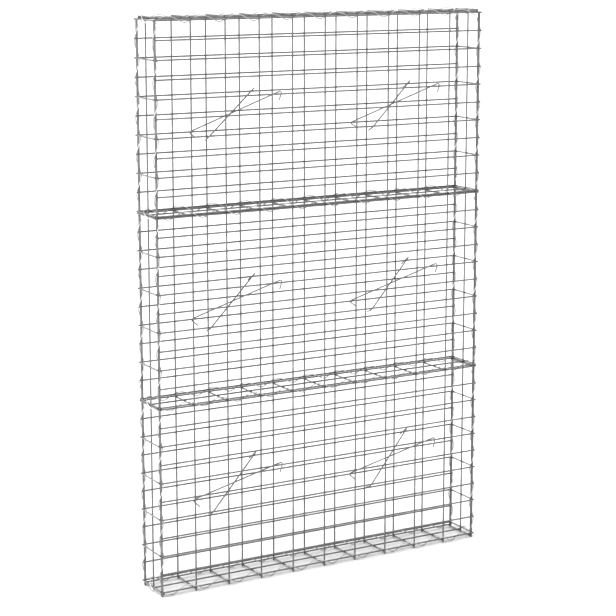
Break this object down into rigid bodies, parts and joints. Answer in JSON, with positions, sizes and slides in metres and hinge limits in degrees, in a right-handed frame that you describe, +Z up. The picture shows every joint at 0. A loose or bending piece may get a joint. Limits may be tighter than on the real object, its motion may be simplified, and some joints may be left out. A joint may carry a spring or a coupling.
{
  "type": "gabion wall",
  "caption": "Free-standing gabion wall of stacked welded wire mesh baskets, laced with spiral binders and braced inside by hooked tie wires.",
  "frame": {"origin": "bottom centre of the wall, on the floor under the middle of its length and depth", "axes": "+X along the wall to the right as seen from the front, -Y towards the front, +Z up"},
  "size_m": [1.0184, 0.1636, 1.5354],
  "materials": {
    "mesh_wire": "galvanised welded wire, matt grey zinc",
    "spiral_wire": "galvanised drawn wire, slightly brighter zinc",
    "tie_wire": "galvanised bent wire, satin zinc"
  },
  "bodies": {
    "root": {"lower_front_panel": "mesh_wire", "lower_rear_panel": "mesh_wire", "lower_left_panel": "mesh_wire", "lower_right_panel": "mesh_wire", "middle_front_panel": "mesh_wire", "middle_rear_panel": "mesh_wire", "middle_left_panel": "mesh_wire", "middle_right_panel": "mesh_wire", "upper_front_panel": "mesh_wire", "upper_rear_panel": "mesh_wire", "upper_left_panel": "mesh_wire", "upper_right_panel": "mesh_wire", "base_panel": "mesh_wire", "lower_divider": "mesh_wire", "upper_divider": "mesh_wire", "lid_panel": "mesh_wire", "lower_left_tie_rear_to_front": "tie_wire", "lower_left_tie_front_to_rear": "tie_wire", "lower_right_tie_rear_to_front": "tie_wire", "lower_right_tie_front_to_rear": "tie_wire", "middle_left_tie_rear_to_front": "tie_wire", "middle_left_tie_front_to_rear": "tie_wire", "middle_right_tie_rear_to_front": "tie_wire", "middle_right_tie_front_to_rear": "tie_wire", "upper_left_tie_rear_to_front": "tie_wire", "upper_left_tie_front_to_rear": "tie_wire", "upper_right_tie_rear_to_front": "tie_wire", "upper_right_tie_front_to_rear": "tie_wire", "front_left_corner_spirals": "spiral_wire", "front_right_corner_spirals": "spiral_wire", "rear_left_corner_spirals": "spiral_wire", "rear_right_corner_spirals": "spiral_wire", "base_front_spiral": "spiral_wire", "base_rear_spiral": "spiral_wire", "base_end_spirals": "spiral_wire", "lower_divider_front_spiral": "spiral_wire", "lower_divider_rear_spiral": "spiral_wire", "lower_divider_end_spirals": "spiral_wire", "upper_divider_front_spiral": "spiral_wire", "upper_divider_rear_spiral": "spiral_wire", "upper_divider_end_spirals": "spiral_wire", "lid_front_spiral": "spiral_wire", "lid_rear_spiral": "spiral_wire", "lid_end_spirals": "spiral_wire"}
  },
  "joints": []
}
